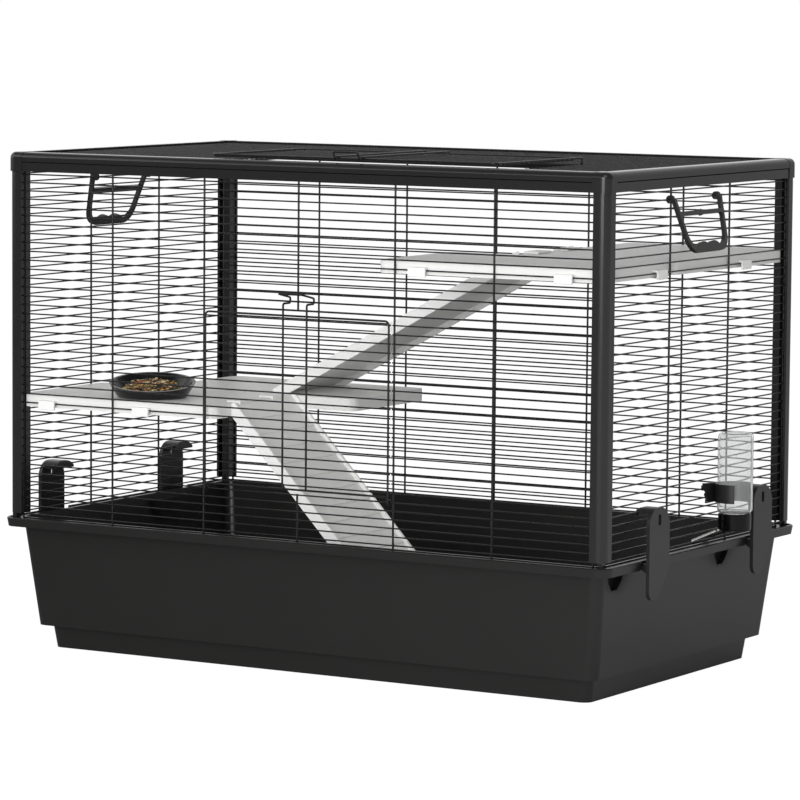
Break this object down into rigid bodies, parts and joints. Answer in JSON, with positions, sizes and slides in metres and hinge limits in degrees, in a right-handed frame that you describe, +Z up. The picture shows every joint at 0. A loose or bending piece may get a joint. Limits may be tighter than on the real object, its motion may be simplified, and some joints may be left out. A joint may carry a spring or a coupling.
{
  "type": "small animal cage",
  "caption": "Wire cage for small rodents on a deep plastic tray, with a front door, a roof door, side clips, handles, shelves, ramps, a bowl and a bottle.",
  "frame": {"origin": "centre of the tray's underside", "axes": "+X to the right along the length, +Z up, the front door faces -Y"},
  "size_m": [0.8452, 0.4752, 0.5936],
  "materials": {
    "frame_black": "satin",
    "wire_black": "satin",
    "fitting_black": "satin",
    "shelf_white": "satin",
    "ramp_grey": "satin",
    "bowl_black": "gloss",
    "bottle_clear": "clear",
    "seal_rubber": "matte",
    "spout_steel": "brushed"
  },
  "bodies": {
    "cage": {"tray": "frame_black", "post_front_left": "frame_black", "post_front_right": "frame_black", "post_back_left": "frame_black", "post_back_right": "frame_black", "top_rail_front": "frame_black", "top_rail_back": "frame_black", "top_rail_left": "frame_black", "top_rail_right": "frame_black", "rail_corner_front_left": "frame_black", "rail_corner_front_right": "frame_black", "rail_corner_back_left": "frame_black", "rail_corner_back_right": "frame_black", "front_panel": "wire_black", "back_panel": "wire_black", "left_panel": "wire_black", "right_panel": "wire_black", "roof_panel": "wire_black", "lower_shelf_front": "shelf_white", "lower_shelf_back": "shelf_white", "upper_shelf_front": "shelf_white", "upper_shelf_side": "shelf_white", "water_bottle": "bottle_clear", "bottle_cap": "fitting_black", "bottle_seal": "seal_rubber", "spout_tube": "spout_steel", "bottle_holder": "fitting_black"},
    "front_door": {"front_door_frame": "wire_black", "front_door_bars": "wire_black", "front_door_latch": "wire_black"},
    "roof_door": {"roof_door_frame": "wire_black", "roof_door_bars": "wire_black", "roof_door_latch": "wire_black"},
    "clip_front_left": {"tray_clip_front_left": "fitting_black"},
    "clip_front_right": {"tray_clip_front_right": "fitting_black"},
    "clip_back_left": {"tray_clip_back_left": "fitting_black"},
    "clip_back_right": {"tray_clip_back_right": "fitting_black"},
    "handle_left": {"carry_handle_left": "fitting_black"},
    "handle_right": {"carry_handle_right": "fitting_black"},
    "lower_ramp_body": {"lower_ramp": "ramp_grey"},
    "upper_ramp_body": {"upper_ramp": "ramp_grey"},
    "bowl": {"food_bowl": "bowl_black"},
    "drink_ball": {"spout_ball": "spout_steel"}
  },
  "joints": [
    {"name": "front_door_hinge", "type": "hinge", "parent": "cage", "child": "front_door", "pos_m": [0, -0.22425, 0.2072], "axis": [1, 0, 0], "range_deg": [0, 130]},
    {"name": "roof_door_hinge", "type": "hinge", "parent": "cage", "child": "roof_door", "pos_m": [0.0628, -0.02067, 0.5768], "axis": [-1, 0, 0], "range_deg": [0, 100]},
    {"name": "clip_front_left_hinge", "type": "hinge", "parent": "cage", "child": "clip_front_left", "pos_m": [-0.38925, -0.1266, 0.2072], "axis": [0, 1, 0], "range_deg": [0, 50]},
    {"name": "clip_front_right_hinge", "type": "hinge", "parent": "cage", "child": "clip_front_right", "pos_m": [0.38925, -0.1266, 0.2072], "axis": [0, -1, 0], "range_deg": [0, 50]},
    {"name": "clip_back_left_hinge", "type": "hinge", "parent": "cage", "child": "clip_back_left", "pos_m": [-0.38925, 0.1266, 0.2072], "axis": [0, 1, 0], "range_deg": [0, 50]},
    {"name": "clip_back_right_hinge", "type": "hinge", "parent": "cage", "child": "clip_back_right", "pos_m": [0.38925, 0.1266, 0.2072], "axis": [0, -1, 0], "range_deg": [0, 50]},
    {"name": "handle_left_hinge", "type": "hinge", "parent": "cage", "child": "handle_left", "pos_m": [-0.38925, -0.005, 0.54508], "axis": [0, 1, 0], "range_deg": [0, 100]},
    {"name": "handle_right_hinge", "type": "hinge", "parent": "cage", "child": "handle_right", "pos_m": [0.38925, -0.021, 0.54508], "axis": [0, -1, 0], "range_deg": [0, 100]},
    {"name": "lower_ramp_lift", "type": "hinge", "parent": "cage", "child": "lower_ramp_body", "pos_m": [-0.1268, -0.1225, 0.30099], "axis": [0, -1, 0], "range_deg": [0, 20]},
    {"name": "upper_ramp_lift", "type": "hinge", "parent": "cage", "child": "upper_ramp_body", "pos_m": [0.1998, 0.015, 0.4767], "axis": [0, 1, 0], "range_deg": [0, 20]},
    {"name": "bowl_lift", "type": "slide", "parent": "cage", "child": "bowl", "axis": [0, 0, 1], "range_m": [0, 0.04]},
    {"name": "drink_ball_slide", "type": "slide", "parent": "cage", "child": "drink_ball", "axis": [0.9135, 0, 0.4067], "range_m": [0, 0.002]}
  ]
}
